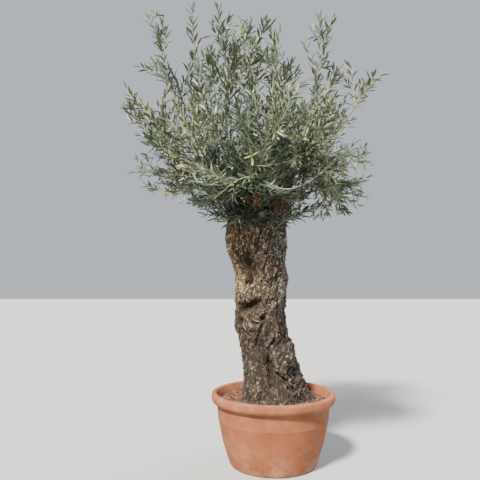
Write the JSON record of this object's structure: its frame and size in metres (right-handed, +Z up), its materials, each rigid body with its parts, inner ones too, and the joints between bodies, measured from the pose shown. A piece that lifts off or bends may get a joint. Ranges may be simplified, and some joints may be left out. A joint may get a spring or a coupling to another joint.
{
  "type": "potted olive tree",
  "caption": "Old olive tree with a thick gnarled trunk, short stout arms and long upright leafy shoots, in a wide plain terracotta pot. It stands on a terrace or in a hall.",
  "frame": {"origin": "centre of the pot's flat underside", "axes": "+Z up along the tree, -Y towards the picture's viewer, +X to the viewer's right"},
  "size_m": [1.3573, 1.3686, 2.4956],
  "materials": {
    "terracotta": "matte",
    "compost": "matte",
    "bark": "matte",
    "foliage": "matte"
  },
  "bodies": {
    "root": {"pot": "terracotta", "soil": "compost", "trunk": "bark", "arm_right": "bark", "arm_left": "bark", "arm_back": "bark", "arm_front": "bark", "foliage_crown_top": "foliage", "foliage_crown_left": "foliage", "foliage_crown_right": "foliage", "foliage_crown_back": "foliage", "foliage_whip_left": "foliage", "foliage_whip_far_left": "foliage", "foliage_whip_right": "foliage", "foliage_right": "foliage", "foliage_right_low": "foliage", "foliage_right_front": "foliage", "foliage_right_back": "foliage", "foliage_left": "foliage", "foliage_left_low": "foliage", "foliage_left_front": "foliage", "foliage_front": "foliage", "foliage_front_low": "foliage", "foliage_back": "foliage", "foliage_back_left": "foliage"}
  },
  "joints": []
}
